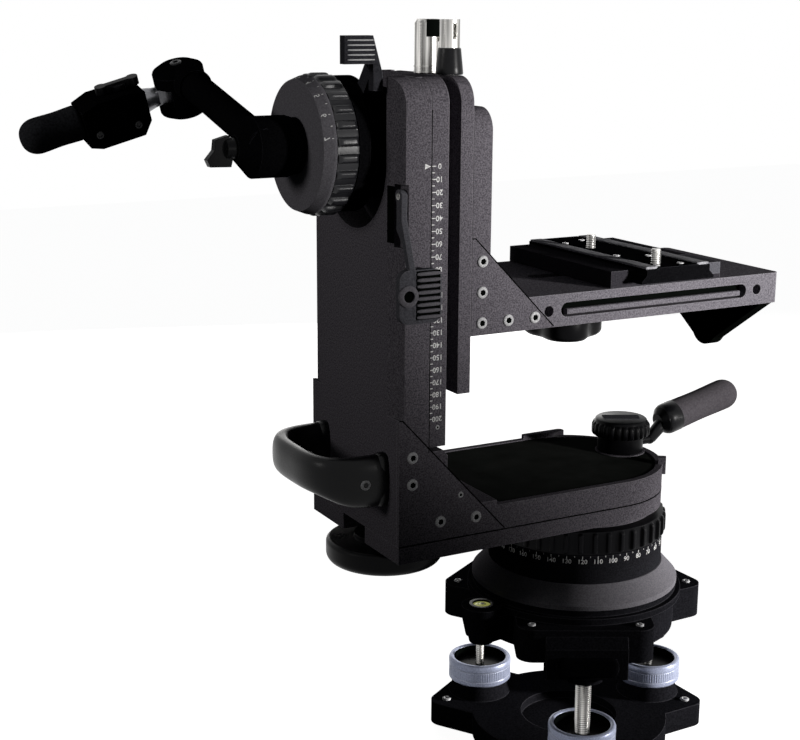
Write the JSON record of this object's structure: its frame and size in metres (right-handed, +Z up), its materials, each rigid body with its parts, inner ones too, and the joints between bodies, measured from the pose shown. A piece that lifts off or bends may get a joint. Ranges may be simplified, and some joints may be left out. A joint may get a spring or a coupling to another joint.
{
  "type": "fluid video head",
  "caption": "Side-mounted fluid video head: a levelling base, a panning L-shaped arm, a tilt drum and a hanging camera cradle with a sliding plate and a pan bar.",
  "frame": {"origin": "pan axis at the underside of the base plate", "axes": "+Z up along the pan axis, +X along the arm from the column to the free end of the platform, -Y towards the lens side"},
  "size_m": [0.6341, 0.3172, 0.6628],
  "materials": {
    "cast_black": "satin powder coat",
    "charcoal": "fine satin anodising",
    "platform_grey": "fine satin anodising",
    "drum_black": "satin anodising",
    "drag_rubber": "satin moulded ribs",
    "wheel_blue": "turned and anodised",
    "black_plastic": "fine grain",
    "steel": "turned",
    "lever_grey": "bead blasted",
    "tube_black": "satin anodising",
    "foam": "closed-cell foam",
    "vial_metal": "turned",
    "vial_green": "clear, tinted liquid"
  },
  "bodies": {
    "base": {"base_plate": "cast_black"},
    "wheel_1": {"wheel_ring_1": "wheel_blue", "wheel_hub_1": "black_plastic"},
    "wheel_2": {"wheel_ring_2": "wheel_blue", "wheel_hub_2": "black_plastic"},
    "wheel_3": {"wheel_ring_3": "wheel_blue", "wheel_hub_3": "black_plastic"},
    "leveller": {"upper_casting": "cast_black", "levelling_screws": "steel", "vial_cup": "vial_metal", "level_vial": "vial_green", "pan_cone": "drum_black", "degree_ring": "drum_black", "pan_bearings": "steel"},
    "pan_drag": {"pan_drag_ring": "drag_rubber"},
    "pan": {"pan_spindle": "steel", "arm_plate": "charcoal"},
    "arm": {"arm_tray": "charcoal", "column": "charcoal", "lower_gussets": "charcoal", "carrying_handle": "black_plastic", "lock_pin": "steel"},
    "side_clamp": {"side_knob": "black_plastic"},
    "stub_clamp": {"arm_knob": "black_plastic"},
    "stub": {"stub_link": "black_plastic", "stub_grip": "foam"},
    "carriage": {"carriage": "charcoal", "tilt_housing": "drum_black", "tilt_bearings": "steel"},
    "lock": {"lock_lever": "lever_grey"},
    "tilt_drag": {"tilt_drag_ring": "drag_rubber"},
    "brake": {"brake_lever": "lever_grey"},
    "tilt": {"tilt_shaft": "steel", "drum_face": "drum_black", "bar_rosette": "drum_black", "swing_plate": "charcoal", "top_post": "steel"},
    "plunger": {"lock_plunger": "steel"},
    "cradle": {"riser": "charcoal", "upper_gussets": "charcoal", "platform": "platform_grey", "end_bracket": "drum_black"},
    "cross": {"plate_clamp": "drum_black", "clamp_jaw": "lever_grey"},
    "cross_knob": {"platform_knob": "black_plastic"},
    "plate": {"camera_plate": "drum_black", "plate_pads": "foam"},
    "screw_1": {"camera_screw_1": "steel"},
    "screw_2": {"camera_screw_2": "steel"},
    "bar": {"bar_clamp": "black_plastic", "bar_tube": "tube_black", "bar_elbow": "black_plastic"},
    "bar_lock": {"bar_wing": "black_plastic"},
    "bar_end": {"bar_cone": "steel", "bar_block": "black_plastic", "bar_rod": "tube_black", "bar_grip": "foam"},
    "block_lock": {"block_wing": "black_plastic"}
  },
  "joints": [
    {"name": "wheel_1_turn", "type": "hinge", "parent": "base", "child": "wheel_1", "pos_m": [-0.04489, -0.08372, 0.0473], "axis": [0, 0, 1], "range_deg": [-5, 1450]},
    {"name": "wheel_2_turn", "type": "hinge", "parent": "base", "child": "wheel_2", "pos_m": [0.09495, 0.00298, 0.0473], "axis": [0, 0, 1], "range_deg": [-5, 1450]},
    {"name": "wheel_3_turn", "type": "hinge", "parent": "base", "child": "wheel_3", "pos_m": [-0.05006, 0.08074, 0.0473], "axis": [0, 0, 1], "range_deg": [-5, 1450]},
    {"name": "level_lift", "type": "slide", "parent": "base", "child": "leveller", "axis": [0, 0, 1], "range_m": [0, 0.006]},
    {"name": "pan_drag_turn", "type": "hinge", "parent": "leveller", "child": "pan_drag", "pos_m": [0, 0, 0.2186], "axis": [0, 0, 1], "range_deg": [-150, 150]},
    {"name": "pan_turn", "type": "hinge", "parent": "leveller", "child": "pan", "pos_m": [0, 0, 0.236], "axis": [0, 0, 1], "continuous": true},
    {"name": "side_slide", "type": "slide", "parent": "pan", "child": "arm", "axis": [-1, 0, 0], "range_m": [0, 0.04]},
    {"name": "side_knob_turn", "type": "hinge", "parent": "arm", "child": "side_clamp", "pos_m": [-0.199, 0, 0.222], "axis": [0, 0, 1], "continuous": true},
    {"name": "arm_knob_turn", "type": "hinge", "parent": "arm", "child": "stub_clamp", "pos_m": [0.0515, 0.005, 0.2955], "axis": [0, 0, 1], "continuous": true},
    {"name": "stub_swing", "type": "hinge", "parent": "arm", "child": "stub", "pos_m": [0.0515, 0.005, 0.2795], "axis": [0, 0, 1], "range_deg": [-40, 40]},
    {"name": "height_slide", "type": "slide", "parent": "arm", "child": "carriage", "axis": [0, 0, 1], "range_m": [0, 0.2]},
    {"name": "lock_lever_swing", "type": "hinge", "parent": "arm", "child": "lock", "pos_m": [-0.224, -0.073, 0.5315], "axis": [-1, 0, 0], "range_deg": [0, 60]},
    {"name": "tilt_drag_turn", "type": "hinge", "parent": "carriage", "child": "tilt_drag", "pos_m": [-0.259, 0, 0.566], "axis": [1, 0, 0], "range_deg": [-150, 150]},
    {"name": "brake_swing", "type": "hinge", "parent": "carriage", "child": "brake", "pos_m": [-0.236, 0, 0.566], "axis": [1, 0, 0], "range_deg": [-20, 25]},
    {"name": "tilt_turn", "type": "hinge", "parent": "carriage", "child": "tilt", "pos_m": [-0.228, 0, 0.566], "axis": [1, 0, 0], "range_deg": [-90, 90]},
    {"name": "plunger_lift", "type": "slide", "parent": "tilt", "child": "plunger", "axis": [0, 0, 1], "range_m": [0, 0.005]},
    {"name": "cradle_slide", "type": "slide", "parent": "tilt", "child": "cradle", "axis": [0, 0, 1], "range_m": [-0.02, 0.02]},
    {"name": "cross_slide", "type": "slide", "parent": "cradle", "child": "cross", "axis": [1, 0, 0], "range_m": [-0.03, 0.03]},
    {"name": "cross_knob_turn", "type": "hinge", "parent": "cross", "child": "cross_knob", "pos_m": [-0.0197, 0, 0.3975], "axis": [0, 0, 1], "continuous": true},
    {"name": "plate_slide", "type": "slide", "parent": "cross", "child": "plate", "axis": [0, 1, 0], "range_m": [-0.04, 0.04]},
    {"name": "screw_1_turn", "type": "hinge", "parent": "plate", "child": "screw_1", "pos_m": [0.0213, 0.02, 0.4555], "axis": [0, 0, 1], "continuous": true},
    {"name": "screw_2_turn", "type": "hinge", "parent": "plate", "child": "screw_2", "pos_m": [0.0213, -0.074, 0.4555], "axis": [0, 0, 1], "continuous": true},
    {"name": "bar_swing", "type": "hinge", "parent": "tilt", "child": "bar", "pos_m": [-0.293, 0, 0.566], "axis": [1, 0, 0], "range_deg": [-40, 40]},
    {"name": "bar_wing_turn", "type": "hinge", "parent": "bar", "child": "bar_lock", "pos_m": [-0.34, 0, 0.566], "axis": [-1, 0, 0], "continuous": true},
    {"name": "elbow_turn", "type": "hinge", "parent": "bar", "child": "bar_end", "pos_m": [-0.3116, 0.15959, 0.60291], "axis": [-0.2924, -0.2394, 0.9258], "range_deg": [-80, 0]},
    {"name": "block_wing_turn", "type": "hinge", "parent": "bar_end", "child": "block_lock", "pos_m": [-0.3683, 0.1594, 0.60364], "axis": [-0.2924, -0.2394, 0.9258], "continuous": true}
  ],
  "couplings": [
    {"joint": "wheel_1_turn", "follows": "level_lift", "rad_per_m": 4188.8},
    {"joint": "wheel_2_turn", "follows": "level_lift", "rad_per_m": 4188.8},
    {"joint": "wheel_3_turn", "follows": "level_lift", "rad_per_m": 4188.8}
  ]
}
